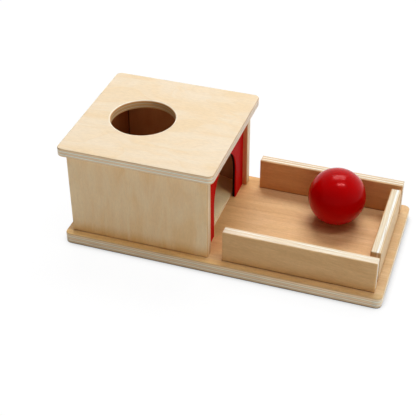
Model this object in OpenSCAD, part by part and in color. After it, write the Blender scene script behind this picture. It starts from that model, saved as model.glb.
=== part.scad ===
// Object permanence box: a closed plywood box with a round hole in its lid, a ramp inside,
// an arched doorway at one end, and an open tray that catches the wooden ball.
// Millimetres. Origin at the middle of the base board's underside, tray towards +X,
// the box's long side that a child faces towards -Y, up +Z.

/* [Base board] */
// Length of the base board
base_length = 250; // [246:1:300]
// Depth of the base board
base_depth = 120; // [118:1:140]
// Thickness of the base board
base_thickness = 9; // [8:0.5:12]
// Radius of the base board's corners in plan
base_corner = 4.5; // [3:0.5:12]

/* [Lid] */
// Length of the lid board
lid_length = 121.9; // [118:0.1:128]
// Thickness of the lid board
lid_thickness = 7.2; // [6:0.1:10]
// Radius of the lid board's corners in plan
lid_corner = 4.5; // [2:0.5:8]
// Diameter of the hole for the ball
hole_diameter = 50; // [48:1:60]
// Distance from the lid's closed end to the middle of the hole
hole_from_end = 45.7; // [42:0.1:60]
// How far the lid reaches past the front and back walls
side_overhang = 6; // [3:0.5:9]
// How far the lid reaches past the end wall
end_overhang = 5; // [3:0.1:9]
// How far the lid reaches past the walls above the doorway
door_overhang = 5.8; // [2:0.1:9]

/* [Walls] */
// Height of the walls between base board and lid
wall_height = 71.8; // [68:0.1:90]
// Thickness of the walls
wall_thickness = 8; // [8:0.5:10]

/* [Doorway panel] */
// Thickness of the red panel
panel_thickness = 2.5; // [2:0.1:4]
// Distance from the walls' open ends back to the panel
panel_recess = 3.6; // [2:0.1:8]
// Width of the arched doorway
door_width = 54; // [48:1:64]
// Height of the doorway's straight sides
door_side_height = 27.5; // [20:0.5:32]
// How far the panel's edges reach into the grooves of the walls
groove_depth = 3; // [1.5:0.5:4]

/* [Ramp] */
// Thickness of the ramp sheet
ramp_thickness = 2.5; // [2:0.1:4]
// Slope of the ramp in degrees
ramp_angle = 13.4; // [9:0.1:17]
// Height of the ramp's cut edge at its toe
ramp_toe_height = 2; // [1.2:0.1:2]
// Space between the ramp's toe and the panel
ramp_toe_gap = 1.6; // [0.5:0.1:4]
// Width of the cleat under the ramp's high end
cleat_width = 10; // [8:1:16]
// Height of the cleat at its back
cleat_height = 16; // [10:1:18]
// Distance from each side wall to the end of the cleat
cleat_end_gap = 6; // [2:1:20]

/* [Tray] */
// Thickness of the tray's rails
rail_thickness = 8; // [7:0.5:10]
// Height of the tray's rails
rail_height = 27; // [20:1:40]
// Distance from the walls' open ends to the side rails
tray_gap = 11.2; // [8:0.1:20]
// Distance from the end rail to the end of the base board
rail_end_margin = 6.5; // [4:0.5:12]
// Gap between each end of the end rail and the side rail beside it
corner_gap = 5; // [3:0.5:12]

/* [Ball] */
// Diameter of the ball
ball_diameter = 45; // [38:0.5:46]
// Distance from the ball to the end rail where it lies
ball_rest_gap = 16.5; // [2:0.5:30]
// Running gap between the ball and what it rolls beside
ball_play = 0.3; // [0.2:0.1:0.6]
// Gap between the ball and the base board
ball_lift = 0.1; // [0.05:0.05:0.3]

/* [Fixings] */
// Length of the countersunk screws
screw_length = 25; // [20:1:28]
// Diameter of the screws' shank
screw_shank = 3.5; // [3:0.1:4]
// Diameter of the screws' head
screw_head = 7; // [6:0.1:8]
// How far the heads lie below the base board's underside
screw_sink = 0.4; // [0.2:0.1:1]
// Distance from each end of a side wall to its screws and dowels
wall_fixing_inset = 18; // [12:1:26]
// Distance from each end of the end wall to its screws
end_fixing_inset = 24; // [20:1:32]
// Distance from each end of a side rail to its screws
rail_fixing_inset = 20; // [12:1:30]
// Distance from each end of the end rail to its screws
end_rail_fixing_inset = 16; // [10:1:24]
// Diameter of the wooden dowels
dowel_diameter = 5; // [4:0.5:5]
// Length of the wooden dowels
dowel_length = 18; // [14:1:20]
// How far a dowel reaches into the board that it meets flat
dowel_bite = 4; // [3:0.5:4.5]
// Height of the lower corner dowels above the base board
corner_dowel_low = 22; // [20:1:30]
// Distance from the upper corner dowels up to the lid
corner_dowel_high = 20; // [18:1:26]

/* [Edges] */
// Rounding of the base board's and lid's edges
board_ease = 1; // [0.5:0.1:1.5]
// Rounding of the edges of walls and rails
bar_ease = 0.9; // [0.3:0.1:1]
// Rounding of the rims of the hole in the lid
hole_ease = 1.2; // [0.5:0.1:2]
// Rounding of the painted panel's edge round the doorway
door_ease = 0.8; // [0.4:0.1:0.9]

/* [Hidden] */

// How far a cutting shape runs past what it cuts
overrun = 2;
// Play between glued or screwed pieces that pass into each other
joint_play = 0.05;
// Play between the ramp and the side walls
ramp_play = 0.2;
// Height of the cylindrical rim of a screw head
screw_rim = 0.4;
// Length of a screw's point
screw_point = 4;
// Width, reach and depth of the cross recess in a screw head
recess_width = 0.9;
recess_reach = 4;
recess_depth = 1.4;
// Chamfer at the ends of a dowel
dowel_chamfer = 0.6;
// Space left past the end of a dowel or a screw in its bore
bore_end_space = 0.5;

base_top = base_thickness;
lid_underside = base_top + wall_height;
box_start = -base_length / 2;
lid_end = box_start + lid_length;
wall_start = box_start + end_overhang;
wall_end = lid_end - door_overhang;
wall_length = wall_end - wall_start;
wall_face = base_depth / 2 - side_overhang;
inner_face = wall_face - wall_thickness;
inner_start = wall_start + wall_thickness;
end_wall_middle = wall_start + wall_thickness / 2;
side_wall_middle = wall_face - wall_thickness / 2;
hole_x = box_start + hole_from_end;

panel_face = wall_end - panel_recess;
panel_back = panel_face - panel_thickness;
door_radius = door_width / 2;
door_spring = base_top + door_side_height;

ramp_toe = panel_back - ramp_toe_gap;
ramp_drop = ramp_thickness / cos(ramp_angle);
ramp_foot = ramp_toe - (ramp_drop - ramp_toe_height) / tan(ramp_angle);

rail_start = wall_end + tray_gap;
rail_end = base_length / 2 - rail_end_margin;
rail_length = rail_end - rail_start;
rail_inner_face = wall_face - rail_thickness;
end_rail_start = rail_end - rail_thickness;
end_rail_length = 2 * (rail_inner_face - corner_gap);
side_rail_middle = wall_face - rail_thickness / 2;
end_rail_middle = rail_end - rail_thickness / 2;

ball_radius = ball_diameter / 2;
ball_x = end_rail_start - ball_rest_gap - ball_radius;
ball_y = rail_inner_face - ball_play - ball_radius;
ball_z = base_top + ball_lift + ball_radius;

shank_radius = screw_shank / 2;
head_radius = screw_head / 2;
head_top = screw_sink + screw_rim + head_radius - shank_radius;
dowel_radius = dowel_diameter / 2;

// Places of the screws under the side walls, the end wall and the rails, and of the dowels
wall_fixing_x = [wall_start + wall_fixing_inset, wall_end - wall_fixing_inset];
end_fixing_y = [-inner_face + end_fixing_inset, inner_face - end_fixing_inset];
rail_fixing_x = [rail_start + rail_fixing_inset, rail_end - rail_fixing_inset];
end_rail_fixing_y = [
    -end_rail_length / 2 + end_rail_fixing_inset,
    end_rail_length / 2 - end_rail_fixing_inset
];
corner_dowel_z = [base_top + corner_dowel_low, lid_underside - corner_dowel_high];
sides = [-1, 1];

wall_screw_places = concat(
    [for (side = sides, x = wall_fixing_x) [x, side * side_wall_middle]],
    [for (y = end_fixing_y) [end_wall_middle, y]]
);
rail_screw_places = concat(
    [for (side = sides, x = rail_fixing_x) [x, side * side_rail_middle]],
    [for (y = end_rail_fixing_y) [end_rail_middle, y]]
);
lid_dowel_places = concat(
    [for (side = sides, x = wall_fixing_x) [x, side * side_wall_middle]],
    [[end_wall_middle, 0]]
);

birch = [0.90, 0.80, 0.64];
pale_birch = [0.96, 0.89, 0.76];
beech = [0.80, 0.62, 0.41];
red_paint = [0.74, 0.06, 0.06];
steel = [0.72, 0.72, 0.72];

$fn = 48;

// A rectangle with round corners, centred
module round_rectangle(width, height, radius) {
    square([width - 2 * radius, height], center = true);
    square([width, height - 2 * radius], center = true);
    for (x = sides, y = sides) {
        translate([x * (width / 2 - radius), y * (height / 2 - radius)]) circle(radius);
    }
}

// A board with round corners in plan and rounded edges, standing on z = 0
module eased_board(length, depth, thickness, corner, ease) {
    translate([0, 0, thickness / 2]) {
        rotate([90, 0, 90])
            linear_extrude(length - 2 * corner, center = true)
                round_rectangle(depth, thickness, ease);
        rotate([90, 0, 0])
            linear_extrude(depth - 2 * corner, center = true)
                round_rectangle(length, thickness, ease);
        for (x = sides, y = sides) {
            translate([x * (length / 2 - corner), y * (depth / 2 - corner), 0])
                rotate_extrude()
                    intersection() {
                        round_rectangle(2 * corner, thickness, ease);
                        translate([0, -thickness / 2]) square([corner, thickness]);
                    }
        }
    }
}

// A straight bar with all its edges rounded, from the origin towards +X, +Y and +Z
module eased_bar(length, depth, height, ease) {
    translate([length / 2, depth / 2, height / 2])
        intersection() {
            rotate([90, 0, 90])
                linear_extrude(length, center = true) round_rectangle(depth, height, ease);
            rotate([90, 0, 0])
                linear_extrude(depth, center = true) round_rectangle(length, height, ease);
            linear_extrude(height, center = true) round_rectangle(length, depth, ease);
        }
}

// The screw's outline from its axis outwards, wider all round by the given play
module screw_outline(play, end_space, start) {
    polygon([
        [0, start],
        [head_radius + play, start],
        [head_radius + play, screw_sink + screw_rim],
        [shank_radius + play, head_top],
        [shank_radius + play, screw_length - screw_point + end_space],
        [0, screw_length + end_space]
    ]);
}

module screw() {
    difference() {
        rotate_extrude() screw_outline(0, 0, screw_sink);
        for (turn = [0, 90]) {
            rotate([0, 0, turn])
                translate([-recess_reach / 2, -recess_width / 2, screw_sink - overrun])
                    cube([recess_reach, recess_width, overrun + recess_depth]);
        }
    }
}

// The countersunk bore that a screw fills, through the base board and up into what stands on it
module screw_bore() {
    rotate_extrude() screw_outline(joint_play, bore_end_space, -overrun);
}

module dowel() {
    rotate_extrude()
        polygon([
            [0, 0],
            [dowel_radius - dowel_chamfer, 0],
            [dowel_radius, dowel_chamfer],
            [dowel_radius, dowel_length - dowel_chamfer],
            [dowel_radius - dowel_chamfer, dowel_length],
            [0, dowel_length]
        ]);
}

module dowel_bore() {
    translate([0, 0, -bore_end_space / 2])
        cylinder(h = dowel_length + bore_end_space, r = dowel_radius + joint_play);
}

module at_places(places, z) {
    for (place = places) {
        translate([place[0], place[1], z]) children();
    }
}

// Upright dowels start in the walls and end in the lid
module at_lid_dowels() {
    at_places(lid_dowel_places, lid_underside + dowel_bite - dowel_length) children();
}

// Level dowels start in the side walls and end in the end wall
module at_corner_dowels() {
    for (side = sides, z = corner_dowel_z) {
        translate([end_wall_middle, side * (inner_face + dowel_bite), z])
            rotate([side * 90, 0, 0]) children();
    }
}

module base_board() {
    color(beech)
        difference() {
            eased_board(base_length, base_depth, base_thickness, base_corner, board_ease);
            at_places(wall_screw_places, 0) screw_bore();
            at_places(rail_screw_places, 0) screw_bore();
        }
}

// The back wall with its groove for the doorway panel; the front wall is its mirror image
module side_wall() {
    difference() {
        translate([wall_start, inner_face, base_top])
            eased_bar(wall_length, wall_thickness, wall_height, bar_ease);
        translate([panel_back - joint_play, inner_face - overrun, base_top - overrun])
            cube([
                panel_thickness + 2 * joint_play,
                groove_depth + overrun,
                wall_height + 2 * overrun
            ]);
        at_places(wall_screw_places, 0) screw_bore();
        at_lid_dowels() dowel_bore();
        at_corner_dowels() dowel_bore();
    }
}

module front_wall() {
    color(birch) mirror([0, 1, 0]) side_wall();
}

module back_wall() {
    color(birch) side_wall();
}

module end_wall() {
    color(birch)
        difference() {
            translate([wall_start, -inner_face, base_top])
                eased_bar(wall_thickness, 2 * inner_face, wall_height, bar_ease);
            at_places(wall_screw_places, 0) screw_bore();
            at_lid_dowels() dowel_bore();
            at_corner_dowels() dowel_bore();
        }
}

// The ball's hole with both rims rounded
module lid_hole() {
    rotate_extrude()
        difference() {
            translate([0, -overrun])
                square([hole_diameter / 2 + hole_ease, lid_thickness + 2 * overrun]);
            translate([hole_diameter / 2, hole_ease])
                square([hole_ease + overrun, lid_thickness - 2 * hole_ease]);
            for (z = [hole_ease, lid_thickness - hole_ease]) {
                translate([hole_diameter / 2 + hole_ease, z]) circle(hole_ease);
            }
        }
}

module lid_board() {
    color(pale_birch)
        difference() {
            translate([box_start + lid_length / 2, 0, lid_underside])
                eased_board(lid_length, base_depth, lid_thickness, lid_corner, board_ease);
            translate([hole_x, 0, lid_underside]) lid_hole();
            at_lid_dowels() dowel_bore();
        }
}

// The doorway's outline, from its foot up, in the panel's plane
module door_outline(grow) {
    translate([-door_radius - grow, -overrun])
        square([door_width + 2 * grow, door_side_height + overrun]);
    translate([0, door_side_height]) circle(door_radius + grow);
}

module arch_panel() {
    panel_width = 2 * (inner_face + groove_depth - joint_play);
    color(red_paint)
        translate([panel_back, 0, base_top])
            rotate([90, 0, 90])
                difference() {
                    translate([-panel_width / 2, 0, 0])
                        cube([panel_width, wall_height, panel_thickness]);
                    translate([0, 0, -overrun])
                        linear_extrude(panel_thickness + 2 * overrun) door_outline(0);
                    door_rounding();
                }
}

// What the rounded edge takes off round the doorway, on the panel's outer face
module door_rounding() {
    for (side = sides) {
        translate([side * door_radius, -overrun, panel_thickness])
            mirror([side < 0 ? 1 : 0, 0, 0])
                rotate([-90, 0, 0])
                    linear_extrude(door_side_height + overrun) edge_cut(door_ease);
    }
    translate([0, door_side_height, panel_thickness])
        rotate_extrude(angle = 180) translate([door_radius, 0]) mirror([0, 1]) edge_cut(door_ease);
}

// The corner of a square beyond a quarter circle, with an overrun on both outer sides
module edge_cut(radius) {
    difference() {
        translate([-overrun, -overrun]) square(radius + overrun);
        translate([radius, radius]) circle(radius);
    }
}

function ramp_top(x) = base_top + ramp_toe_height + (ramp_toe - x) * tan(ramp_angle);

module ramp_sheet() {
    color(pale_birch)
        rotate([90, 0, 0])
            linear_extrude(2 * (inner_face - ramp_play), center = true)
                polygon([
                    [ramp_toe, base_top],
                    [ramp_toe, base_top + ramp_toe_height],
                    [inner_start, ramp_top(inner_start)],
                    [inner_start, ramp_top(inner_start) - ramp_drop],
                    [ramp_foot, base_top]
                ]);
}

module ramp_cleat() {
    cleat_end = inner_start + cleat_width;
    cleat_top = ramp_top(inner_start) - ramp_drop;
    color(birch)
        rotate([90, 0, 0])
            linear_extrude(2 * (inner_face - cleat_end_gap), center = true)
                polygon([
                    [inner_start, cleat_top],
                    [inner_start, cleat_top - cleat_height],
                    [cleat_end, cleat_top - cleat_height],
                    [cleat_end, ramp_top(cleat_end) - ramp_drop]
                ]);
}

// The tray's back rail; the front rail is its mirror image
module side_rail() {
    difference() {
        translate([rail_start, rail_inner_face, base_top])
            eased_bar(rail_length, rail_thickness, rail_height, bar_ease);
        at_places(rail_screw_places, 0) screw_bore();
    }
}

module tray_front_rail() {
    color(birch) mirror([0, 1, 0]) side_rail();
}

module tray_back_rail() {
    color(birch) side_rail();
}

module tray_end_rail() {
    color(birch)
        difference() {
            translate([end_rail_start, -end_rail_length / 2, base_top])
                eased_bar(rail_thickness, end_rail_length, rail_height, bar_ease);
            at_places(rail_screw_places, 0) screw_bore();
        }
}

module ball() {
    color(red_paint) translate([ball_x, ball_y, ball_z]) sphere(ball_radius);
}

module wall_screws() {
    color(steel) at_places(wall_screw_places, 0) screw();
}

module rail_screws() {
    color(steel) at_places(rail_screw_places, 0) screw();
}

module lid_dowels() {
    color(birch) at_lid_dowels() dowel();
}

module corner_dowels() {
    color(birch) at_corner_dowels() dowel();
}

base_board();
front_wall();
back_wall();
end_wall();
lid_board();
arch_panel();
ramp_sheet();
ramp_cleat();
tray_front_rail();
tray_back_rail();
tray_end_rail();
ball();
wall_screws();
rail_screws();
lid_dowels();
corner_dowels();
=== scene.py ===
"""Looks of the object permanence box: birch plywood boards with bare ply edges, a red painted
doorway panel with a scorched cut edge, a red lacquered wooden ball and zinc screws underneath.
"""

import math

import bmesh
import bpy
from mathutils import Matrix, Vector


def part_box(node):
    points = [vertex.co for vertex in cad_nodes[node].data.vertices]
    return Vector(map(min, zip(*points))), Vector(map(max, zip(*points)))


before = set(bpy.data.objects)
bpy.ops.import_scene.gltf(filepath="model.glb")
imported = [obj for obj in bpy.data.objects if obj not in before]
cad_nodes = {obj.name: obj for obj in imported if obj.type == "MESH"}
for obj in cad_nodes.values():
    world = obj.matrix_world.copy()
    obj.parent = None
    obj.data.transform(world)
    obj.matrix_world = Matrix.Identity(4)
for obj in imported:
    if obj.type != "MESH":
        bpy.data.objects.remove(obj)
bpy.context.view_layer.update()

MM = 0.001
X, Y, Z = 0, 1, 2
WHITE = (1.0, 1.0, 1.0, 1.0)

# Camera of the photograph: its place in metres, its direction in degrees and its lens
CAMERA_PLACE = (0.185561, -0.619239, 0.502109)
CAMERA_AZIMUTH = 18.938
CAMERA_ELEVATION = 36.735
CAMERA_ROLL = -0.318
CAMERA_CLIP = (0.01, 50.0)
PHOTO_SIZE = 416
FOCAL_PIXELS = 1023.919
SENSOR_MM = 36.0

# Softboxes: name, direction from the object, distance, width, depth, radiance and use
SOFTBOXES = [
    ("back_softbox", (-0.03, 0.47, 0.88), 2.0, 1.3, 0.7, 9.7, "both"),
    ("top_strip", (0.256, -0.13, 0.961), 2.0, 1.85, 0.4, 2.28, "light"),
    ("top_gleam", (0.235, -0.03, 0.972), 2.0, 0.9, 0.16, 12.5, "both"),
    ("side_softbox", (0.85, -0.15, 0.36), 2.0, 1.6, 1.2, 1.27, "light"),
    ("front_softbox", (0.2, -0.85, 0.2), 2.0, 1.8, 1.0, 0.72, "light"),
    ("top_gloss", (0.235, -0.03, 0.972), 1.99, 0.9, 0.16, 48.0, "gloss"),
    ("back_gloss", (-0.03, 0.47, 0.88), 1.99, 1.3, 0.7, 4.2, "gloss"),
]
# Direction that the long sides of the softboxes keep to
LAMP_RUN = Vector((0.946, 0.324, 0.0))

# Room: its even level, the level of the backdrop, and where that is, by direction back and up
ROOM_LEVEL = 0.058
BACKDROP_LEVEL = 0.86
BACKDROP_BACK = (0.2, 0.8)
BACKDROP_UP = (0.62, 0.35)

# Table: radius, sides, drop below the base in metres, its tone, and its tone and glow to the camera
TABLE_RADIUS = 4.0
TABLE_SIDES = 64
TABLE_DROP = 0.0002
TABLE_TONE = (0.85, 0.85, 0.85, 1.0)
TABLE_SEEN_TONE = (0.07, 0.07, 0.07, 1.0)
TABLE_GLOW = 0.945
# Distances from the middle, in metres, between which the table runs out to plain white
TABLE_FADE = (0.3, 0.9)
# Contact shadow: its reach in metres, how fast it falls off and how deep it is
CONTACT_REACH = 0.009
CONTACT_FALL = 3.0
CONTACT_DEPTH = 2.9
# Glow of the table under the base, which only the base's underside sees, and its margin
UNDER_GLOW = 0.7
UNDER_MARGIN = 0.002

# Ramp: its slope in degrees and the thickness of its sheet in millimetres
RAMP_SLOPE = 13.4
RAMP_SHEET = 2.0
# Where painted shade turns its upper part warmer and duller, in millimetres from its toe
RAMP_DEEP = (-26.0, -56.0)
# Where painted shade does so on its side under the back wall, in millimetres from its middle
RAMP_ASIDE = (16.0, 30.0)

# Hole in the lid, in millimetres: radius, rounding and soft edge of its rim, place from the closed end
HOLE_RADIUS = 25.0
HOLE_EASE = 1.2
HOLE_SOFT = 0.3
HOLE_FROM_END = 45.7
# Tan crown of the bore, from the lid's top, and the cut at the open end, from that end
CROWN_SPAN = (-2.2, -1.4)
OPEN_END_SPAN = (-1.0, -0.3)

# Heights in millimetres: painted foot shade of a wall and of a rail, glue line and painted contact shadow
# under a rail
WALL_FOOT_HEIGHT = 13.0
RAIL_FOOT_HEIGHT = 10.0
GLUE_SHADOW_SPAN = (0.6, 1.1)
# End grain of the end rail with painted shade, from its narrow ends, and the painted dark line of shade
# from the end wall's corner
END_GRAIN_SPAN = (-0.35, -0.05)
CORNER_SHADE_SPAN = (0.3, 1.2)
# How far beside the end wall, and from the doorway panel, a long wall still counts as indoors for the
# painted shade
INDOORS_SIDE = 1.0
INDOORS_END = -0.5

# Painted shade in the tray by the doorway, warmer and darker: its reach from the doorway, and its front
# side, from the middle of the box
DOORWAY_SPAN = (2.0, 32.0)
DOORWAY_SIDE = (-52.0, -44.0)
# Borders of the tray and of the cooler end, from the end rail, and of the margin, from the front wall
TRAY_SPAN = (-1.0, 0.0)
COOL_END_SPAN = (-1.0, 2.0)
MARGIN_SPAN = (-1.0, -0.2)
# Height over its underside of the base's dark lower edge: the bottom veneer with a painted contact shadow
BOTTOM_SPAN = (0.6, 2.0)

# How squarely wood faces out of its board, 0 to 1, where the cut edge turns into the face
FACE_TURN = (0.55, 0.8)
SHEET_TURN = (0.5, 0.8)
BORE_TURN = (0.35, 0.65)
RIM_HIGHLIGHT_TURN = (0.74, 0.82)
PAINT_TURN = (0.12, 0.3)
# Tan line on the rounded rim of a board: the turn where it runs, half its width and its share
RIM_MIDDLE = 0.5
RIM_RANGE = (0.0, 0.27, 0.75, 0.0)

# Pale cross plies in a board and in the thin sheet: their middles and half their width, as shares
BOARD_PLIES = {"Lower ply": 0.31, "Upper ply": 0.67, "Half ply": 0.085}
SHEET_PLIES = {"Lower ply": 0.5, "Upper ply": 0.5, "Half ply": 0.17}


def tone(red, green, blue):
    """A colour given as it looks on a screen, 0 to 255, as the linear values that Blender works in."""

    def linear(value):
        share = value / 255
        return share / 12.92 if share <= 0.04045 else ((share + 0.055) / 1.055) ** 2.4

    return (linear(red), linear(green), linear(blue), 1.0)


class Shading:
    """A node tree with short calls that add its nodes and join them."""

    def __init__(self, tree):
        self.tree = tree

    def feed(self, node, inputs):
        """Joins sockets to the inputs of a node, and sets plain numbers and colours on them."""
        for key, value in inputs.items():
            if isinstance(value, bpy.types.NodeSocket):
                self.tree.links.new(value, node.inputs[key])
            else:
                node.inputs[key].default_value = value

    def add(self, kind, inputs=None, **settings):
        node = self.tree.nodes.new(kind)
        for name, value in settings.items():
            setattr(node, name, value)
        self.feed(node, inputs or {})
        return node

    def group(self, tree, inputs):
        """The outputs of a node group that is placed with the given values."""
        return self.add("ShaderNodeGroup", inputs, node_tree=tree).outputs

    def math(self, operation, *values, clamp=False):
        inputs = dict(enumerate(values))
        return self.add("ShaderNodeMath", inputs, operation=operation, use_clamp=clamp).outputs[0]

    def apart(self, value, other):
        """The distance between two values."""
        return self.math("ABSOLUTE", self.math("SUBTRACT", value, other))

    def vector(self, operation, *values):
        inputs = dict(enumerate(values))
        return self.add("ShaderNodeVectorMath", inputs, operation=operation).outputs[0]

    def measure(self, operation, *values):
        """The number that a vector operation gives, such as a length or a dot product."""
        inputs = dict(enumerate(values))
        return self.add("ShaderNodeVectorMath", inputs, operation=operation).outputs["Value"]

    def join(self, x, y, z):
        return self.add("ShaderNodeCombineXYZ", {0: x, 1: y, 2: z}).outputs[0]

    def split(self, vector):
        return self.add("ShaderNodeSeparateXYZ", {0: vector}).outputs

    def noise(self, vector, stretch, detail=2.0, roughness=0.5, distortion=0.0):
        """Noise, 0 to 1, whose features repeat about once per unit after the given stretch."""
        node = self.add(
            "ShaderNodeTexNoise",
            {
                "Vector": self.vector("MULTIPLY", vector, stretch),
                "Scale": 1.0,
                "Detail": detail,
                "Roughness": roughness,
                "Distortion": distortion,
            },
        )
        return node.outputs[0]

    def ramp(self, value, low, high, to_low=0.0, to_high=1.0):
        """The value's way from low to high as a smooth step from to_low to to_high."""
        node = self.add(
            "ShaderNodeMapRange",
            {0: value, 1: low, 2: high, 3: to_low, 4: to_high},
            interpolation_type="SMOOTHSTEP",
        )
        return node.outputs[0]

    def fade(self, value, low, high):
        """1 up to the low value and 0 from the high one on."""
        return self.ramp(value, low, high, 1.0, 0.0)

    def blend(self, factor, first, second):
        """One number where the factor is 0 and another where it is 1."""
        return self.add("ShaderNodeMix", {0: factor, 2: first, 3: second}).outputs[0]

    def mix(self, factor, first, second, way="MIX"):
        """One colour where the factor is 0 and another where it is 1."""
        node = self.add(
            "ShaderNodeMix",
            {0: factor, 6: first, 7: second},
            data_type="RGBA",
            blend_type=way,
        )
        return node.outputs[2]

    def tint(self, mask, color, share):
        """The colour, of which the given share is left where the mask is 1."""
        return self.mix(mask, color, share, "MULTIPLY")

    def choose(self, factor, first, second):
        """One shader where the factor is 0 and another where it is 1."""
        return self.add("ShaderNodeMixShader", {0: factor, 1: first, 2: second}).outputs[0]

    def glow(self, strength):
        """White light that the surface itself gives off."""
        return self.add("ShaderNodeEmission", {"Color": WHITE, "Strength": strength}).outputs[0]

    def grain_space(self, position, along, across, depth, start):
        """Object coordinates in metres as millimetres along the grain, across it and in depth."""
        from_start = {0: self.vector("SUBTRACT", position, start), "Scale": 1 / MM}
        place = self.add("ShaderNodeVectorMath", from_start, operation="SCALE").outputs[0]
        return self.join(*(self.measure("DOT_PRODUCT", place, axis) for axis in (along, across, depth)))


def new_group(name, inputs, outputs):
    """An empty node group with the given sockets: (shading, its inputs, its output node)."""
    tree = bpy.data.node_groups.new(name, "ShaderNodeTree")
    for label, kind in inputs:
        tree.interface.new_socket(label, in_out="INPUT", socket_type="NodeSocket" + kind)
    for label, kind in outputs:
        tree.interface.new_socket(label, in_out="OUTPUT", socket_type="NodeSocket" + kind)
    shading = Shading(tree)
    entry = shading.add("NodeGroupInput")
    return shading, entry.outputs, shading.add("NodeGroupOutput")


# Noises of the face veneer: stretch along, across and in depth per millimetre, detail, roughness, twist
SWAY_NOISE = ((0.011, 0.024, 0.4), 2.0)
MOTTLE_NOISE = ((0.3, 0.7, 0.6), 2.0, 0.6)
VENEER_NOISES = {
    "clouds": ((0.016, 0.05, 0.3), 3.0, 0.55, 0.7),
    "patches": ((0.022, 0.085, 0.3), 2.0, 0.5, 0.9),
    "rings": ((0.0085, 0.021, 0.3), 2.0, 0.45, 0.4),
    "broad": ((0.006, 0.11, 0.3), 2.0, 0.5),
    "narrow": ((0.012, 0.5, 0.3), 3.0, 0.6),
    "fibres": ((0.1, 2.6, 1.0), 2.0, 0.65),
    "flecks": ((0.42, 3.3, 1.0), 1.0),
}
# What they give: two levels of the noise, and the values that belong to them
VENEER_RANGES = {
    "clouds": (0.4, 0.6, 0.0, 0.55),
    "patches": (0.42, 0.6, 0.0, 0.35),
    "broad": (0.3, 0.7, 0.0, 0.5),
    "narrow": (0.32, 0.68, 0.0, 0.5),
    "fibres": (0.28, 0.72, 0.86, 1.08),
    "flecks": (0.62, 0.76, 0.0, 1.0),
    "mottle": (0.3, 0.7, 0.93, 1.07),
}
FIBRE_GLOSS = (0.2, 0.8, -0.04, 0.06)
# Contour lines of the rings: how many the noise passes through and how sharp they are
RING_COUNT = 9.0
RING_SHARPNESS = 3.0
PORE_DEPTH = -0.5


def make_face_veneer():
    """The face of rotary-cut birch: flames, ring contours, long streaks, fibres, flecks and mottle."""
    shading, given, result = new_group(
        "face_veneer",
        [("Grain", "Vector"), ("Pale", "Color"), ("Deep", "Color"), ("Streak", "Color"),
         ("Figure", "Float"), ("Streaks", "Float"), ("Flecks", "Float"), ("Curl", "Float"),
         ("Fibre", "Float"), ("Mottle", "Float"), ("Rings", "Float")],
        [("Color", "Color"), ("Relief", "Float"), ("Roughness", "Float")],
    )
    grain = given["Grain"]
    sway = shading.math("SUBTRACT", shading.noise(grain, *SWAY_NOISE), 0.5)
    bend = shading.math("MULTIPLY", sway, given["Curl"])
    wavy = shading.vector("ADD", grain, shading.join(bend, bend, 0.0))
    noises = {name: shading.noise(wavy, *noise) for name, noise in VENEER_NOISES.items()}
    noises["mottle"] = shading.noise(grain, *MOTTLE_NOISE)
    shown = {name: shading.ramp(noises[name], *levels) for name, levels in VENEER_RANGES.items()}
    ring = shading.math("FRACT", shading.math("MULTIPLY", noises["rings"], RING_COUNT))
    ring_line = shading.math("POWER", ring, RING_SHARPNESS)
    flame = shading.math("ADD", shown["clouds"], shown["patches"])
    flame = shading.math("MULTIPLY_ADD", ring_line, given["Rings"], flame)
    flame_share = shading.math("MULTIPLY", flame, given["Figure"], clamp=True)
    streaks = shading.math("ADD", shown["broad"], shown["narrow"])
    streak_share = shading.math("MULTIPLY", streaks, given["Streaks"], clamp=True)
    fleck_share = shading.math("MULTIPLY", shown["flecks"], given["Flecks"])
    color = shading.mix(flame_share, given["Pale"], given["Deep"])
    color = shading.mix(streak_share, color, given["Streak"])
    for pattern, strength in (("fibres", "Fibre"), ("mottle", "Mottle")):
        grey = shading.join(shown[pattern], shown[pattern], shown[pattern])
        color = shading.tint(given[strength], color, grey)
    color = shading.tint(fleck_share, color, given["Streak"])
    pores = shading.math("MULTIPLY", fleck_share, PORE_DEPTH)
    shading.feed(result, {
        "Color": color,
        "Relief": shading.math("ADD", noises["fibres"], pores),
        "Roughness": shading.ramp(noises["fibres"], *FIBRE_GLOSS),
    })
    return shading.tree


# Noises of the cut edge, in the same order as the veneer's
DRIFT_NOISE = ((0.045, 0.045, 1.0), 2.0)
PLY_STREAK_NOISE = ((0.05, 0.05, 2.2), 3.0, 0.6)
THIN_LINE_NOISE = ((0.02, 0.05, 1.9), 3.0, 0.65)
PORE_NOISE = ((1.6, 1.6, 4.0), 2.0, 0.6)
# How far the plies wander, as a share of the board, and how steeply the thin lines climb
PLY_DRIFT = 0.05
THIN_LINE_CLIMB = 0.06
# Soft border of a cross ply and glue line on it, as shares, and a face ply's skin in millimetres
PALE_PLY_RANGE = (-0.03, 0.02)
GLUE_RANGE = (0.0, 0.045, 0.5, 0.0)
SKIN_RANGE = (0.5, 1.0)
# What the other noises give: two levels of the noise, and the values that belong to them
THIN_LINE_RANGE = (0.5, 0.66)
PLY_STREAK_RANGE = (0.25, 0.75, -0.07, 0.07)
PORE_RANGE = (0.25, 0.75, 0.96, 1.03)


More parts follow.
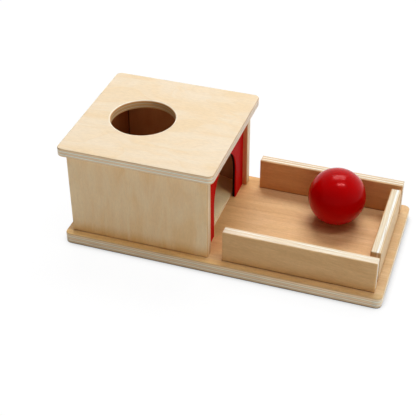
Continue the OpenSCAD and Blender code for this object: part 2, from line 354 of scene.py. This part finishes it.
def make_ply_edge():
    """The cut edge of plywood: tan face and core plies, two pale cross plies and thin glue lines."""
    shading, given, result = new_group(
        "ply_edge",
        [("Grain", "Vector"), ("Thickness", "Float"), ("Lower ply", "Float"), ("Upper ply", "Float"),
         ("Half ply", "Float"), ("Lower share", "Float"), ("Lines", "Float"), ("Skin", "Float"),
         ("Face ply", "Color"), ("Core ply", "Color"), ("Glue", "Color")],
        [("Color", "Color"), ("Relief", "Float")],
    )
    grain = given["Grain"]
    along, across, depth = shading.split(grain)
    drift = shading.noise(shading.join(along, across, 0.0), *DRIFT_NOISE)
    share = shading.math("DIVIDE", depth, given["Thickness"])
    wander = shading.math("MULTIPLY_ADD", drift, PLY_DRIFT, -PLY_DRIFT / 2)
    share = shading.math("ADD", share, wander)
    pale, glue = [], []
    for ply in ("Lower ply", "Upper ply"):
        past = shading.math("SUBTRACT", shading.apart(share, given[ply]), given["Half ply"])
        pale.append(shading.fade(past, *PALE_PLY_RANGE))
        glue.append(shading.ramp(shading.math("ABSOLUTE", past), *GLUE_RANGE))
    for lines in (pale, glue):
        lines[0] = shading.math("MULTIPLY", lines[0], given["Lower share"])
    cross_ply = shading.math("MAXIMUM", *pale)
    glue_line = shading.math("MAXIMUM", *glue)
    climb = shading.math("MULTIPLY_ADD", along, THIN_LINE_CLIMB, depth)
    thin = shading.noise(shading.join(along, across, climb), *THIN_LINE_NOISE)
    thin_line = shading.math("MULTIPLY", shading.ramp(thin, *THIN_LINE_RANGE), given["Lines"])
    color = shading.mix(cross_ply, given["Face ply"], given["Core ply"])
    color = shading.mix(shading.math("MAXIMUM", glue_line, thin_line), color, given["Glue"])
    from_face = shading.math("MINIMUM", depth, shading.math("SUBTRACT", given["Thickness"], depth))
    skin = shading.math("MULTIPLY", shading.fade(from_face, *SKIN_RANGE), given["Skin"])
    color = shading.mix(skin, color, given["Glue"])
    streaks = shading.noise(grain, *PLY_STREAK_NOISE)
    pores = shading.noise(grain, *PORE_NOISE)
    shade = shading.math(
        "ADD", shading.ramp(streaks, *PLY_STREAK_RANGE), shading.ramp(pores, *PORE_RANGE)
    )
    shading.feed(result, {
        "Color": shading.tint(1.0, color, shading.join(shade, shade, shade)),
        "Relief": shading.math("SUBTRACT", pores, glue_line),
    })
    return shading.tree


# Noise of the wiped and held places, per metre
SMEAR_NOISE = ((38.0, 38.0, 38.0), 3.0, 0.6, 0.5)


def make_handling():
    """Slow changes of gloss where a lacquered or painted surface has been wiped and held."""
    shading, given, result = new_group(
        "handling", [("Position", "Vector"), ("Roughness", "Float"), ("Amount", "Float")],
        [("Roughness", "Float")],
    )
    smears = shading.noise(given["Position"], *SMEAR_NOISE)
    change = shading.math("MULTIPLY", shading.math("SUBTRACT", smears, 0.5), given["Amount"])
    shading.feed(result, {"Roughness": shading.math("ADD", given["Roughness"], change)})
    return shading.tree


FACE_VENEER = make_face_veneer()
PLY_EDGE = make_ply_edge()
HANDLING = make_handling()


def empty_material(name):
    """A material without nodes: (material, shading)."""
    material = bpy.data.materials.new(name)
    material.use_nodes = True
    material.node_tree.nodes.clear()
    return material, Shading(material.node_tree)


def new_material(name, color):
    """What a finish starts from: (material, shading, Principled shader, position, normal)."""
    material, shading = empty_material(name)
    material.diffuse_color = color
    shader = shading.add("ShaderNodeBsdfPrincipled")
    shading.add("ShaderNodeOutputMaterial", {"Surface": shader.outputs[0]})
    coordinates = shading.add("ShaderNodeTexCoord").outputs
    return material, shading, shader, coordinates["Object"], coordinates["Normal"]


def bump(shading, shader, height, distance, strength):
    node = shading.add("ShaderNodeBump", {"Height": height, "Distance": distance, "Strength": strength})
    shading.feed(shader, {"Normal": node.outputs[0]})


def worn_gloss(shading, position, wear):
    """The roughness of a surface that has been wiped and held."""
    return shading.group(HANDLING, {"Position": position, **wear})["Roughness"]


def squareness(shading, normal, axis):
    """How squarely the surface faces along an axis, 0 to 1."""
    return shading.math("ABSOLUTE", shading.split(normal)[axis])


def dress(node_name, material):
    """Gives a CAD node its material."""
    slots = cad_nodes[node_name].data.materials
    slots.clear()
    slots.append(material)


def unit(axis):
    return tuple(1.0 if i == axis else 0.0 for i in range(3))


# Tones of the birch faces: pale ground, deeper flames and darker streaks
WALL_FACE = {"Pale": tone(250, 223, 180), "Deep": tone(244, 206, 150), "Streak": tone(233, 190, 138)}
# Inner faces of the box and of the end wall: the same birch, darker and warmer as painted shade
BOX_INNER_SHADED = {"Pale": tone(216, 147, 103), "Deep": tone(204, 133, 89), "Streak": tone(186, 114, 74)}
END_INNER_SHADED = {"Pale": tone(172, 107, 62), "Deep": tone(159, 95, 52), "Streak": tone(144, 81, 44)}
LID_FACE = {"Pale": tone(237, 219, 192), "Deep": tone(235, 210, 172), "Streak": tone(231, 203, 162)}
BASE_FACE = {"Pale": tone(233, 195, 144), "Deep": tone(223, 182, 127), "Streak": tone(196, 143, 92)}
RAIL_FACE = {"Pale": tone(228, 187, 132), "Deep": tone(216, 169, 114), "Streak": tone(196, 147, 94)}
# Inner faces of the rails: the same birch, darker and redder as painted shade
RAIL_INNER_SHADED = {"Pale": tone(225, 171, 115), "Deep": tone(211, 153, 97), "Streak": tone(187, 129, 77)}
END_FACE = {"Pale": tone(226, 198, 157), "Deep": tone(218, 185, 141), "Streak": tone(205, 168, 120)}
RAMP_FACE = {"Pale": tone(255, 241, 193), "Deep": tone(254, 232, 178), "Streak": tone(246, 215, 162)}

# Tones of the cut edges, and strengths of the lower pale ply, the thin tan lines and the skins
WALL_EDGE = {"Face ply": tone(228, 202, 160), "Core ply": tone(252, 240, 214), "Glue": tone(186, 150, 106),
             "Lower share": 1.0, "Lines": 0.2, "Skin": 0.5}
LID_EDGE = {"Face ply": tone(253, 225, 185), "Core ply": tone(255, 250, 232), "Glue": tone(186, 146, 102),
            "Lower share": 1.0, "Lines": 0.2, "Skin": 0.7}
BASE_EDGE = {"Face ply": tone(252, 224, 184), "Core ply": tone(255, 240, 215), "Glue": tone(186, 146, 103),
             "Lower share": 1.0, "Lines": 0.3, "Skin": 0.55}
RAIL_EDGE = {"Face ply": tone(236, 222, 194), "Core ply": tone(248, 246, 234), "Glue": tone(212, 176, 131),
             "Lower share": 0.5, "Lines": 0.75, "Skin": 0.9}
# Edges of the back rail: its own ply pattern, with face plies and glue darker than the other rails' as
# painted shade
BACK_EDGE_SHADED = {"Face ply": tone(220, 195, 156), "Core ply": tone(250, 246, 230), "Glue": tone(176, 134, 92),
             "Lower share": 1.0, "Lines": 0.5, "Skin": 0.5}
END_EDGE = {"Face ply": tone(229, 214, 184), "Core ply": tone(245, 246, 241), "Glue": tone(204, 170, 125),
            "Lower share": 0.1, "Lines": 0.7, "Skin": 0.9, "Half ply": 0.12}
RAMP_EDGE = {"Face ply": tone(255, 243, 206), "Core ply": tone(255, 250, 226), "Glue": tone(244, 216, 170),
             "Lower share": 1.0, "Lines": 0.2, "Skin": 0.0}
RIM_TONE = tone(216, 172, 118)

# How strongly each kind of board shows each pattern, and how far its grain curls, in millimetres
BASE_FIGURE = {"Figure": 0.7, "Streaks": 0.5, "Flecks": 0.5, "Curl": 14.0,
               "Fibre": 0.42, "Mottle": 0.5, "Rings": 0.45}
LID_FIGURE = {"Figure": 1.0, "Streaks": 0.12, "Flecks": 0.12, "Curl": 44.0,
              "Fibre": 0.2, "Mottle": 0.4, "Rings": 0.45}
WALL_FIGURE = {"Figure": 0.95, "Streaks": 0.25, "Flecks": 0.15, "Curl": 6.0,
               "Fibre": 0.25, "Mottle": 0.35, "Rings": 0.08}
RAIL_FIGURE = {"Figure": 0.7, "Streaks": 0.4, "Flecks": 0.25, "Curl": 12.0,
               "Fibre": 0.5, "Mottle": 0.5, "Rings": 0.3}
PLAIN_FIGURE = {"Figure": 0.5, "Streaks": 0.35, "Flecks": 0.2, "Curl": 8.0,
                "Fibre": 0.4, "Mottle": 0.4, "Rings": 0.2}

# Shares of red, green and blue that are left where shade is painted: at the feet, at the seams with the
# glue line, in corners, on end grain and inside the box
WALL_FOOT_SHADE = (0.90, 0.76, 0.55, 1.0)
RAIL_FOOT_SHADE = (0.92, 0.83, 0.70, 1.0)
RAIL_GLUE_AND_SHADOW = (0.52, 0.44, 0.38, 1.0)
CORNER_SHADE = (0.35, 0.30, 0.28, 1.0)
END_GRAIN_AND_SHADE = (0.80, 0.64, 0.42, 1.0)
INDOORS_SHADE = (0.84, 0.92, 0.90, 1.0)
# Shares that are left in the lid's bore, as painted shade, and at its open end, and tones of the bore's
# crown and of the rim's painted highlight
BORE_SHADE = (0.80, 0.65, 0.46, 1.0)
LID_END = (0.91, 0.93, 1.02, 1.0)
BORE_CROWN = tone(226, 160, 92)
RIM_HIGHLIGHT = tone(255, 246, 226)
CROWN_SHARE = 0.6
RIM_HIGHLIGHT_SHARE = 0.6
# Shares along the base: painted shade by the doorway, painted light down the tray and along the front
# margin, a cooler end, and the dark bottom veneer with a painted contact shadow below
DOORWAY_SHADE = (0.95, 0.87, 0.72, 1.0)
TRAY_LIGHT_START = (0.96, 0.96, 0.95, 1.0)
TRAY_LIGHT_END = (1.05, 1.05, 1.05, 1.0)
MARGIN_LIGHT_START = (1.31, 1.36, 1.22, 1.0)
MARGIN_LIGHT_END = (1.0, 1.01, 0.92, 1.0)
COOL_END = (0.97, 1.04, 1.12, 1.0)
BOTTOM_VENEER_AND_SHADOW = (0.72, 0.64, 0.54, 1.0)
# Shares left by painted shade on the ramp: on its upper part and on its side under the back wall
RAMP_SHADE = (0.72, 0.68, 0.58, 1.0)
RAMP_SIDE_SHADE = (0.87, 0.75, 0.60, 1.0)

# Gloss of the wood: roughness and how far handling changes it, specular level, depth of the relief
BIRCH_WEAR = {"Roughness": 0.5, "Amount": 0.16}
BIRCH_SPECULAR = 0.2
BIRCH_BUMP = (0.00006, 0.6)
SHEET_ROUGHNESS = 0.5
DOWEL_ROUGHNESS = 0.6
# Turn of the grain in the front rail's face, in degrees
FRONT_RAIL_LEAN = -7.0


def heights(node_name):
    """The lowest and highest corners of a node in millimetres."""
    low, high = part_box(node_name)
    return low / MM, high / MM


def span(edge, offsets):
    """Two places by their distances from an edge, in millimetres."""
    return tuple(edge + offset for offset in offsets)


def over_base(shading, place):
    """The height over the top of the base."""
    return shading.math("SUBTRACT", place[Z], heights("base_board")[1].z)


def painted_foot_shade(shading, place, color, height, share):
    """Painted shade and warm bounce: warmer and darker towards the base that the board stands on."""
    return shading.tint(shading.fade(over_base(shading, place), 0.0, height), color, share)


def wall_finish(shading, place, facing, color):
    # Painted shade and warm bounce at the foot of the wall
    return painted_foot_shade(shading, place, color, WALL_FOOT_HEIGHT, WALL_FOOT_SHADE)


def rail_finish(shading, place, facing, color):
    """A rail: painted shade at its foot, and the dark glue line under it with a painted contact shadow."""
    color = painted_foot_shade(shading, place, color, RAIL_FOOT_HEIGHT, RAIL_FOOT_SHADE)
    # The dark glue line under the rail, deepened by a painted contact shadow
    return shading.tint(shading.fade(over_base(shading, place), *GLUE_SHADOW_SPAN), color, RAIL_GLUE_AND_SHADOW)


def end_rail_finish(shading, place, facing, color):
    """The end rail: its narrow ends show dark end grain between the glue lines, darkened further by painted
    shade.
    """
    rail_end = heights("tray_end_rail")[1].y
    from_middle = shading.math("ABSOLUTE", place[Y])
    # Dark end grain on the narrow ends, with painted shade
    at_end = shading.ramp(from_middle, *span(rail_end, END_GRAIN_SPAN))
    return rail_finish(shading, place, facing, shading.tint(at_end, color, END_GRAIN_AND_SHADE))


def long_wall_finish(shading, place, facing, color):
    """A long wall: painted shade inside the box and in the corner where the end wall meets it."""
    end_wall = heights("end_wall")[1]
    inside = shading.math("LESS_THAN", shading.math("ABSOLUTE", place[Y]), end_wall.y + INDOORS_SIDE)
    # Painted shade in the corner where the end wall meets it
    corner = shading.fade(shading.apart(place[X], end_wall.x), *CORNER_SHADE_SPAN)
    color = shading.tint(shading.math("MULTIPLY", corner, inside), color, CORNER_SHADE)
    # Painted shade on the inner face behind the doorway panel
    indoors = shading.math("LESS_THAN", place[X], heights("arch_panel")[1].x + INDOORS_END)
    color = shading.tint(shading.math("MULTIPLY", indoors, inside), color, INDOORS_SHADE)
    return wall_finish(shading, place, facing, color)


def lid_finish(shading, place, facing, color):
    """The lid: painted shade in a browner bore with a tan crown, a painted highlight on the rim and a
    cooler open end.
    """
    low, high = heights("lid_board")
    from_middle = shading.math("SUBTRACT", place[X], low.x + HOLE_FROM_END)
    reach = shading.measure("LENGTH", shading.join(from_middle, place[Y], 0.0))
    rim = HOLE_RADIUS + HOLE_EASE
    near = shading.fade(reach, rim, rim + HOLE_SOFT)
    in_bore = shading.math("MULTIPLY", near, shading.fade(facing, *BORE_TURN))
    # Painted shade in the bore
    color = shading.tint(in_bore, color, BORE_SHADE)
    crown = shading.math("MULTIPLY", in_bore, shading.ramp(place[Z], *span(high.z, CROWN_SPAN)))
    color = shading.mix(shading.math("MULTIPLY", crown, CROWN_SHARE), color, BORE_CROWN)
    # Painted highlight on the rounded rim of the hole
    gleam = shading.math("MULTIPLY", near, shading.ramp(facing, *RIM_HIGHLIGHT_TURN))
    color = shading.mix(shading.math("MULTIPLY", gleam, RIM_HIGHLIGHT_SHARE), color, RIM_HIGHLIGHT)
    at_end = shading.ramp(place[X], *span(high.x, OPEN_END_SPAN))
    return shading.tint(at_end, color, LID_END)


def base_finish(shading, place, facing, color):
    """The base, with painted shade and light: warmer and darker by the doorway, brighter towards the end of
    the tray and at the start of the front margin, a cooler end outside the end rail and a dark lower edge
    with a painted shadow."""
    rail_end = heights("tray_end_rail")[1].x
    doorway = heights("arch_panel")[1].x
    # Painted shade by the doorway
    warm = shading.fade(place[X], *span(doorway, DOORWAY_SPAN))
    warm = shading.math("MULTIPLY", warm, shading.ramp(place[Y], *DOORWAY_SIDE))
    color = shading.tint(warm, color, DOORWAY_SHADE)
    # Painted light: brighter down the tray towards the end rail
    tray_light = shading.mix(shading.ramp(place[X], doorway, rail_end), TRAY_LIGHT_START, TRAY_LIGHT_END)
    color = shading.tint(shading.fade(place[X], *span(rail_end, TRAY_SPAN)), color, tray_light)
    # Painted light on the front margin, brightest at its left end
    margin = shading.fade(place[Y], *span(heights("front_wall")[0].y, MARGIN_SPAN))
    margin = shading.math("MULTIPLY", margin, shading.ramp(facing, *FACE_TURN))
    margin_light = shading.mix(shading.ramp(place[X], -rail_end, rail_end), MARGIN_LIGHT_START, MARGIN_LIGHT_END)
    color = shading.tint(margin, color, margin_light)
    # A cooler tint on the end outside the end rail
    color = shading.tint(shading.ramp(place[X], *span(rail_end, COOL_END_SPAN)), color, COOL_END)
    # Dark bottom veneer with a painted contact shadow
    return shading.tint(shading.fade(place[Z], *BOTTOM_SPAN), color, BOTTOM_VENEER_AND_SHADOW)


def plywood(name, node_name, depth_axis, grain_axis, faces, edge_tones, figure, finish, lean=0.0):
    """Solid plywood: veneer figure on the two faces and the stack of plies on every cut edge.

    depth_axis is the board's thickness and grain_axis the run of the face veneers; faces are the
    tones of its low and high face; lean turns the grain in the face, in degrees."""
    low_face, high_face = faces
    low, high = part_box(node_name)
    thickness = (high[depth_axis] - low[depth_axis]) / MM
    across_axis = 3 - depth_axis - grain_axis
    turn = math.radians(lean)
    along = [0.0, 0.0, 0.0]
    along[grain_axis], along[across_axis] = math.cos(turn), math.sin(turn)
    across = [0.0, 0.0, 0.0]
    across[grain_axis], across[across_axis] = -math.sin(turn), math.cos(turn)
    material, shading, shader, position, normal = new_material(name, high_face["Pale"])
    grain = shading.grain_space(position, along, across, unit(depth_axis), tuple(low))
    place = shading.split(shading.grain_space(position, unit(X), unit(Y), unit(Z), (0.0, 0.0, 0.0)))
    depth = shading.split(grain)[2]
    upper = shading.math("GREATER_THAN", depth, thickness / 2)
    tones = {key: shading.mix(upper, low_face[key], high_face[key]) for key in low_face}
    face = shading.group(FACE_VENEER, {"Grain": grain, **tones, **figure})
    edge = shading.group(PLY_EDGE, {"Grain": grain, "Thickness": thickness, **BOARD_PLIES, **edge_tones})
    facing = squareness(shading, normal, depth_axis)
    on_face = shading.ramp(facing, *FACE_TURN)
    rim = shading.ramp(shading.apart(facing, RIM_MIDDLE), *RIM_RANGE)
    color = shading.mix(on_face, edge["Color"], face["Color"])
    color = shading.mix(rim, color, RIM_TONE)
    grain_gloss = shading.math("MULTIPLY", face["Roughness"], on_face)
    shading.feed(shader, {
        "Base Color": finish(shading, place, facing, color),
        "Roughness": shading.math("ADD", worn_gloss(shading, position, BIRCH_WEAR), grain_gloss),
        "Specular IOR Level": BIRCH_SPECULAR,
    })
    bump(shading, shader, shading.blend(on_face, edge["Relief"], face["Relief"]), *BIRCH_BUMP)
    dress(node_name, material)


def ramp_board():
    """The thin ramp sheet: pale veneer on its sloping top and light plies at its toe, with painted shade,
    warmer and duller, on its upper part and side."""
    low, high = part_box("ramp_sheet")
    slope = math.radians(RAMP_SLOPE)
    down = (math.cos(slope), 0.0, -math.sin(slope))
    out = (math.sin(slope), 0.0, math.cos(slope))
    material, shading, shader, position, normal = new_material("ramp_birch", RAMP_FACE["Pale"])
    grain = shading.grain_space(position, down, unit(Y), out, (high.x, low.y, low.z))
    face = shading.group(FACE_VENEER, {"Grain": grain, **RAMP_FACE, **PLAIN_FIGURE})
    edge = shading.group(PLY_EDGE, {"Grain": grain, "Thickness": RAMP_SHEET, **SHEET_PLIES, **RAMP_EDGE})
    on_face = shading.ramp(squareness(shading, normal, Z), *SHEET_TURN)
    color = shading.mix(on_face, edge["Color"], face["Color"])
    from_toe, from_side, _ = shading.split(grain)
    # Painted shade on the upper part and on the side under the back wall
    color = shading.tint(shading.ramp(from_toe, *RAMP_DEEP), color, RAMP_SHADE)
    from_middle = shading.math("ADD", from_side, low.y / MM)
    color = shading.tint(shading.ramp(from_middle, *RAMP_ASIDE), color, RAMP_SIDE_SHADE)
    shading.feed(shader, {
        "Base Color": color,
        "Roughness": shading.math("ADD", face["Roughness"], SHEET_ROUGHNESS),
        "Specular IOR Level": BIRCH_SPECULAR,
    })
    bump(shading, shader, face["Relief"], *BIRCH_BUMP)
    dress("ramp_sheet", material)


def solid_birch(name, node_name, along):
    """Solid birch for the dowels and the cleat, with its fibres along one axis."""
    across = (along + 1) % 3
    depth = 3 - along - across
    material, shading, shader, position, _ = new_material(name, WALL_FACE["Pale"])
    grain = shading.grain_space(position, unit(along), unit(across), unit(depth), (0.0, 0.0, 0.0))
    face = shading.group(FACE_VENEER, {"Grain": grain, **WALL_FACE, **PLAIN_FIGURE})
    shading.feed(shader, {
        "Base Color": face["Color"],
        "Roughness": shading.math("ADD", face["Roughness"], DOWEL_ROUGHNESS),
    })
    bump(shading, shader, face["Relief"], *BIRCH_BUMP)
    dress(node_name, material)


# Red cast of the gloss on the paint and the lacquer
LACQUER_TINT = (1.0, 0.24, 0.24, 1.0)

# Panel: its paint and char, and their noises per millimetre, written as the veneer's are
PANEL_TONE = tone(186, 10, 14)
PAINT_TONES = (tone(207, 7, 8), tone(191, 4, 6))
CHAR_TONES = (tone(18, 10, 6), tone(38, 22, 13))
PAINT_STREAK_NOISE = ((0.02, 0.9, 0.3), 3.0, 0.6)
PAINT_STREAK_RANGE = (0.3, 0.7)
PEEL_NOISE = ((1.2, 1.2, 1.2), 2.0)
PEEL_DEPTH = 0.3
CHAR_NOISE = ((0.5, 0.5, 0.9), 3.0, 0.6)
PAINT_WEAR = {"Roughness": 0.42, "Amount": 0.14}
PAINT_SPECULAR = 0.015
PAINT_BUMP = (0.00005, 0.5)


def panel_paint():
    """Red paint on thin sheet, with the wood's streaks under it, and a scorched edge in the doorway."""
    low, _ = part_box("arch_panel")
    material, shading, shader, position, normal = new_material("panel_red", PANEL_TONE)
    grain = shading.grain_space(position, unit(Z), unit(Y), unit(X), tuple(low))
    streaks = shading.noise(grain, *PAINT_STREAK_NOISE)
    peel = shading.noise(grain, *PEEL_NOISE)
    paint = shading.mix(shading.ramp(streaks, *PAINT_STREAK_RANGE), *PAINT_TONES)
    char = shading.mix(shading.noise(grain, *CHAR_NOISE), *CHAR_TONES)
    painted = shading.ramp(squareness(shading, normal, X), *PAINT_TURN)
    shading.feed(shader, {
        "Base Color": shading.mix(painted, char, paint),
        "Roughness": worn_gloss(shading, position, PAINT_WEAR),
        "Specular IOR Level": PAINT_SPECULAR,
        "Specular Tint": LACQUER_TINT,
    })
    relief = shading.math("ADD", streaks, shading.math("MULTIPLY", peel, PEEL_DEPTH))
    bump(shading, shader, relief, *PAINT_BUMP)
    dress("arch_panel", material)


# Ball: its lacquer, and its noises per metre, written as the veneer's are
BALL_TONE = tone(184, 4, 6)
BALL_TONES = (tone(182, 0, 2), tone(176, 0, 2))
BALL_RING_NOISE = ((60.0, 60.0, 420.0), 2.0, 0.5, 0.3)
BALL_CLOUD_NOISE = ((45.0, 45.0, 45.0), 2.0)
BALL_CLOUD_RANGE = (0.3, 0.7)
BALL_WEAR = {"Roughness": 0.18, "Amount": 0.03}
BALL_SPECULAR = 0.12
BALL_BUMP = (0.00002, 0.3)


def ball_lacquer():
    """Satin red lacquer over turned beech: faint rings and a soft sheen."""
    low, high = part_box("ball")
    material, shading, shader, position, _ = new_material("ball_red", BALL_TONE)
    place = shading.vector("SUBTRACT", position, tuple((low + high) / 2))
    clouds = shading.noise(place, *BALL_CLOUD_NOISE)
    shading.feed(shader, {
        "Base Color": shading.mix(shading.ramp(clouds, *BALL_CLOUD_RANGE), *BALL_TONES),
        "Roughness": worn_gloss(shading, position, BALL_WEAR),
        "Specular IOR Level": BALL_SPECULAR,
        "Specular Tint": LACQUER_TINT,
    })
    bump(shading, shader, shading.noise(place, *BALL_RING_NOISE), *BALL_BUMP)
    dress("ball", material)


# Zinc: its tones, its noise per metre and how rough it is from the bright to the dull patches
ZINC_TONE = tone(190, 190, 188)
ZINC_TONES = (tone(178, 180, 182), tone(214, 214, 210))
SPANGLE_NOISE = ((900.0, 900.0, 900.0), 3.0, 0.6)
SPANGLE_GLOSS = (0.3, 0.7, 0.26, 0.42)
ZINC_BUMP = (0.00002, 0.4)


def zinc_plate():
    """Bright zinc on the screws, dulled in patches."""
    material, shading, shader, position, _ = new_material("zinc", ZINC_TONE)
    spangle = shading.noise(position, *SPANGLE_NOISE)
    shading.feed(shader, {
        "Base Color": shading.mix(spangle, *ZINC_TONES),
        "Metallic": 1.0,
        "Roughness": shading.ramp(spangle, *SPANGLE_GLOSS),
    })
    bump(shading, shader, spangle, *ZINC_BUMP)
    for node_name in ("wall_screws", "rail_screws"):
        dress(node_name, material)


def dress_the_box():
    plywood("base_birch", "base_board", Z, X, (BASE_FACE, BASE_FACE), BASE_EDGE, BASE_FIGURE, base_finish)
    plywood("lid_birch", "lid_board", Z, X, (WALL_FACE, LID_FACE), LID_EDGE, LID_FIGURE, lid_finish)
    plywood("front_wall_birch", "front_wall", Y, Z, (WALL_FACE, BOX_INNER_SHADED), WALL_EDGE, WALL_FIGURE,
            long_wall_finish)
    plywood("back_wall_birch", "back_wall", Y, Z, (BOX_INNER_SHADED, WALL_FACE), WALL_EDGE, WALL_FIGURE,
            long_wall_finish)
    plywood("end_wall_birch", "end_wall", X, Z, (WALL_FACE, END_INNER_SHADED), WALL_EDGE, WALL_FIGURE, wall_finish)
    plywood("front_rail_birch", "tray_front_rail", Y, X, (RAIL_FACE, RAIL_INNER_SHADED), RAIL_EDGE, RAIL_FIGURE,
            rail_finish, FRONT_RAIL_LEAN)
    plywood("back_rail_birch", "tray_back_rail", Y, X, (RAIL_INNER_SHADED, RAIL_FACE), BACK_EDGE_SHADED, RAIL_FIGURE,
            rail_finish)
    plywood("end_rail_birch", "tray_end_rail", X, Y, (RAIL_INNER_SHADED, END_FACE), END_EDGE, RAIL_FIGURE,
            end_rail_finish)
    ramp_board()
    solid_birch("lid_dowel_birch", "lid_dowels", Z)
    solid_birch("corner_dowel_birch", "corner_dowels", Y)
    solid_birch("cleat_birch", "ramp_cleat", Y)
    panel_paint()
    ball_lacquer()
    zinc_plate()


def make_camera():
    """The camera where the photograph was taken, by its fitted place, direction, roll and lens."""
    azimuth, elevation, roll = (
        math.radians(a) for a in (CAMERA_AZIMUTH, CAMERA_ELEVATION, CAMERA_ROLL)
    )
    turn = Matrix.Rotation(azimuth, 4, "Z")
    tilt = Matrix.Rotation(math.pi / 2 - elevation, 4, "X")
    camera = bpy.data.objects.new("camera", bpy.data.cameras.new("camera"))
    bpy.context.scene.collection.objects.link(camera)
    camera.matrix_world = (
        Matrix.Translation(CAMERA_PLACE) @ turn @ tilt @ Matrix.Rotation(roll, 4, "Z")
    )
    camera.data.sensor_fit = "AUTO"
    camera.data.sensor_width = SENSOR_MM
    camera.data.lens = SENSOR_MM * FOCAL_PIXELS / PHOTO_SIZE
    camera.data.clip_start, camera.data.clip_end = CAMERA_CLIP
    bpy.context.scene.camera = camera


def softbox(name, direction, distance, width, depth, radiance, use):
    """A rectangular lamp that looks at the object from the given direction, seen as that radiance.

    Its use is "light" without a reflection, "gloss" as a reflection only, or "both"."""
    lamp = bpy.data.lights.new(name, "AREA")
    lamp.shape = "RECTANGLE"
    lamp.size, lamp.size_y = width, depth
    lamp.energy = radiance * math.pi * width * depth
    holder = bpy.data.objects.new(name, lamp)
    bpy.context.scene.collection.objects.link(holder)
    back = Vector(direction).normalized()
    run = (LAMP_RUN - LAMP_RUN.dot(back) * back).normalized()
    turned = Matrix((run, back.cross(run), back)).transposed().to_4x4()
    holder.matrix_world = Matrix.Translation(back * distance) @ turned
    holder.visible_glossy = use != "light"
    holder.visible_diffuse = use != "gloss"


def seen_ray(shading):
    """1 for rays that see the background: the camera's, mirrored ones and those through glass."""
    path = shading.add("ShaderNodeLightPath").outputs
    mirrored = shading.math("MAXIMUM", path["Is Glossy Ray"], path["Is Transmission Ray"])
    return shading.math("MAXIMUM", path["Is Camera Ray"], mirrored)


def make_light():
    """Softboxes overhead, at the right and in front, two more that show only as gloss, and an even
    room with a brighter backdrop."""
    for lamp in SOFTBOXES:
        softbox(*lamp)
    world = bpy.data.worlds.new("room")
    bpy.context.scene.world = world
    world.use_nodes = True
    world.node_tree.nodes.clear()
    shading = Shading(world.node_tree)
    way = shading.split(shading.add("ShaderNodeTexCoord").outputs["Generated"])
    backdrop = shading.math(
        "MULTIPLY", shading.ramp(way[Y], *BACKDROP_BACK), shading.ramp(way[Z], *BACKDROP_UP)
    )
    room = shading.math("MULTIPLY_ADD", backdrop, BACKDROP_LEVEL, ROOM_LEVEL)
    level = shading.blend(seen_ray(shading), room, 1.0)
    light = shading.add("ShaderNodeBackground", {"Color": WHITE, "Strength": level})
    shading.add("ShaderNodeOutputWorld", {"Surface": light.outputs[0]})


def table_top():
    """A big round sheet just below the base."""
    plane = bmesh.new()
    bmesh.ops.create_circle(plane, cap_ends=True, segments=TABLE_SIDES, radius=TABLE_RADIUS)
    bmesh.ops.translate(plane, vec=(0.0, 0.0, -TABLE_DROP), verts=plane.verts)
    mesh = bpy.data.meshes.new("table")
    plane.to_mesh(mesh)
    plane.free()
    table = bpy.data.objects.new("table", mesh)
    bpy.context.scene.collection.objects.link(table)
    return table


def under_base(shading, place):
    """1 where the base covers the table."""
    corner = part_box("base_board")[1]
    covered = [
        shading.math("LESS_THAN", shading.math("ABSOLUTE", place[axis]), corner[axis] - UNDER_MARGIN)
        for axis in (X, Y)
    ]
    return shading.math("MULTIPLY", *covered)


def make_floor():
    """A white table top that keeps the contact shadow and runs out to plain white."""
    material, shading = empty_material("white_table")
    place = shading.add("ShaderNodeTexCoord").outputs["Object"]
    far = shading.ramp(shading.measure("LENGTH", place), *TABLE_FADE)
    nearby = shading.add("ShaderNodeAmbientOcclusion", {"Distance": CONTACT_REACH})
    hidden = shading.math("SUBTRACT", 1.0, nearby.outputs["AO"])
    contact = shading.math("MULTIPLY", shading.math("POWER", hidden, CONTACT_FALL), CONTACT_DEPTH)
    open_share = shading.math("SUBTRACT", 1.0, contact, clamp=True)
    near_glow = shading.glow(shading.math("MULTIPLY", open_share, TABLE_GLOW))
    paper = shading.add("ShaderNodeBsdfDiffuse", {"Color": TABLE_TONE})
    seen_paper = shading.add("ShaderNodeBsdfDiffuse", {"Color": TABLE_SEEN_TONE})
    near = shading.add("ShaderNodeAddShader", {0: seen_paper.outputs[0], 1: near_glow})
    seen = shading.choose(far, near.outputs[0], shading.glow(1.0))
    look = shading.choose(seen_ray(shading), paper.outputs[0], seen)
    look = shading.choose(under_base(shading, shading.split(place)), look, shading.glow(UNDER_GLOW))
    below = shading.add("ShaderNodeNewGeometry").outputs["Backfacing"]
    look = shading.choose(below, look, shading.add("ShaderNodeBsdfTransparent").outputs[0])
    shading.add("ShaderNodeOutputMaterial", {"Surface": look})
    table = table_top()
    table.data.materials.append(material)


dress_the_box()
make_camera()
make_light()
make_floor()
bpy.context.scene.view_settings.view_transform = "Standard"
